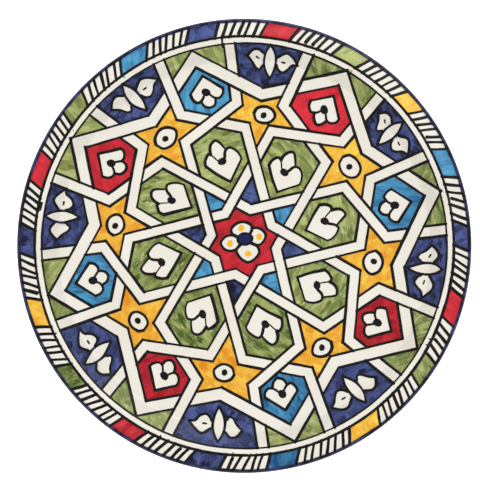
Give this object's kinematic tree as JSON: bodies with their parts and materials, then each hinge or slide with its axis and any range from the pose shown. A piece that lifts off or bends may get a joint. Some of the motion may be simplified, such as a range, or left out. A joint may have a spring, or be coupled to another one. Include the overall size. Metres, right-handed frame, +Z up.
{
  "type": "hand painted ceramic plate",
  "caption": "Round glazed serving plate with a foot ring, a low wall and a narrow turned-out rim, painted with an interlaced eight-fold star rosette.",
  "frame": {"origin": "centre of the plane that the foot ring rests on", "axes": "+Z up through the painted face, the turning axis; +Y towards the top of the face as it is displayed, +X to its right"},
  "size_m": [0.35, 0.35, 0.0279],
  "materials": {
    "biscuit": "bare fired clay, matt",
    "white_glaze": "glossy warm white glaze",
    "cobalt_lip": "glossy brushed cobalt",
    "black_line": "glossy brushed black",
    "red_enamel": "glossy brushed red",
    "navy_enamel": "glossy brushed navy blue",
    "turquoise_enamel": "glossy brushed turquoise blue",
    "green_enamel": "glossy brushed olive green",
    "yellow_enamel": "glossy brushed yellow"
  },
  "bodies": {
    "root": {"clay_body": "biscuit", "foot_ring": "biscuit", "face_glaze": "white_glaze", "back_glaze": "white_glaze", "foot_well_glaze": "white_glaze", "lip_band": "cobalt_lip", "inner_ring_line": "black_line", "outer_ring_line": "black_line", "strapwork_outline": "black_line", "hub_star": "red_enamel", "kite_1": "navy_enamel", "shield_1": "green_enamel", "star_1": "yellow_enamel", "hexagon_1": "red_enamel", "butterfly_field_1": "navy_enamel", "kite_2": "turquoise_enamel", "shield_2": "green_enamel", "star_2": "yellow_enamel", "hexagon_2": "turquoise_enamel", "butterfly_field_2": "navy_enamel", "kite_3": "navy_enamel", "shield_3": "green_enamel", "star_3": "yellow_enamel", "hexagon_3": "red_enamel", "butterfly_field_3": "navy_enamel", "kite_4": "turquoise_enamel", "shield_4": "green_enamel", "star_4": "yellow_enamel", "hexagon_4": "turquoise_enamel", "butterfly_field_4": "navy_enamel", "kite_5": "navy_enamel", "shield_5": "green_enamel", "star_5": "yellow_enamel", "hexagon_5": "red_enamel", "butterfly_field_5": "navy_enamel", "kite_6": "turquoise_enamel", "shield_6": "green_enamel", "star_6": "yellow_enamel", "hexagon_6": "turquoise_enamel", "butterfly_field_6": "navy_enamel", "kite_7": "navy_enamel", "shield_7": "green_enamel", "star_7": "yellow_enamel", "hexagon_7": "red_enamel", "butterfly_field_7": "navy_enamel", "kite_8": "turquoise_enamel", "shield_8": "green_enamel", "star_8": "yellow_enamel", "hexagon_8": "turquoise_enamel", "butterfly_field_8": "navy_enamel"}
  },
  "joints": []
}
